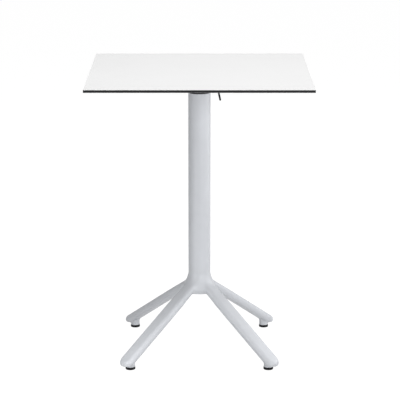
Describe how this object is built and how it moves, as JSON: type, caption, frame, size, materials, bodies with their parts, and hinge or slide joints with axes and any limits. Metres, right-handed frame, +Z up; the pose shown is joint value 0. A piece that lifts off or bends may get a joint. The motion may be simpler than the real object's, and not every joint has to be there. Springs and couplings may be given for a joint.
{
  "type": "folding bar table",
  "caption": "Bar-height table whose square laminate top tilts upright on a round column, freed by a hand lever, over a splayed cast foot with height-adjustable glides.",
  "frame": {"origin": "on the floor, on the column's axis, under the middle of the level top", "axes": "+Z up; -Y is the front, towards which the top tilts down; +X is to the right, the lever's side"},
  "size_m": [0.8, 0.8, 1.06],
  "materials": {
    "laminate_white": "satin",
    "laminate_black": "satin",
    "insert_brass": "satin",
    "zinc_steel": "satin",
    "spring_steel": "satin",
    "black_paint": "satin",
    "white_nylon": "matte",
    "buffer_rubber": "matte",
    "column_paint": "satin",
    "foot_paint": "satin",
    "glide_plastic": "satin"
  },
  "bodies": {
    "stand": {"column_tube": "column_paint", "tie_rod": "zinc_steel", "tie_washer": "zinc_steel", "tie_nut": "zinc_steel", "base_casting": "foot_paint", "tilt_head": "black_paint", "pivot_bushes": "white_nylon", "level_buffers": "buffer_rubber", "upright_buffers": "buffer_rubber", "catch_pin": "zinc_steel"},
    "top": {"laminate_top_face": "laminate_white", "laminate_core": "laminate_black", "laminate_bottom_face": "laminate_white", "panel_inserts": "insert_brass", "bracket_screws": "zinc_steel", "tilt_bracket": "black_paint", "pivot_bolt": "zinc_steel", "pivot_washers": "zinc_steel", "pivot_nut": "zinc_steel", "lever_bushes": "white_nylon", "return_spring": "spring_steel"},
    "lever": {"release_lever": "black_paint", "latch_hook": "zinc_steel", "hook_roll_pin": "spring_steel", "lever_clips": "spring_steel"},
    "glide_front_left": {"glide_pad_front_left": "glide_plastic", "glide_stud_front_left": "zinc_steel"},
    "glide_front_right": {"glide_pad_front_right": "glide_plastic", "glide_stud_front_right": "zinc_steel"},
    "glide_back_left": {"glide_pad_back_left": "glide_plastic", "glide_stud_back_left": "zinc_steel"},
    "glide_back_right": {"glide_pad_back_right": "glide_plastic", "glide_stud_back_right": "zinc_steel"}
  },
  "joints": [
    {"name": "top_tilt", "type": "hinge", "parent": "stand", "child": "top", "pos_m": [0, -0.02, 1.014], "axis": [1, 0, 0], "range_deg": [0, 90]},
    {"name": "lever_release", "type": "hinge", "parent": "top", "child": "lever", "pos_m": [0, 0.034, 1.024], "axis": [1, 0, 0], "range_deg": [0, 20], "stiffness_Nm_per_rad": 0.3, "springref_deg": -17.19, "deforming": ["return_spring"]},
    {"name": "glide_front_left_height", "type": "slide", "parent": "stand", "child": "glide_front_left", "axis": [0, 0, -1], "range_m": [0, 0.01]},
    {"name": "glide_front_right_height", "type": "slide", "parent": "stand", "child": "glide_front_right", "axis": [0, 0, -1], "range_m": [0, 0.01]},
    {"name": "glide_back_left_height", "type": "slide", "parent": "stand", "child": "glide_back_left", "axis": [0, 0, -1], "range_m": [0, 0.01]},
    {"name": "glide_back_right_height", "type": "slide", "parent": "stand", "child": "glide_back_right", "axis": [0, 0, -1], "range_m": [0, 0.01]}
  ]
}
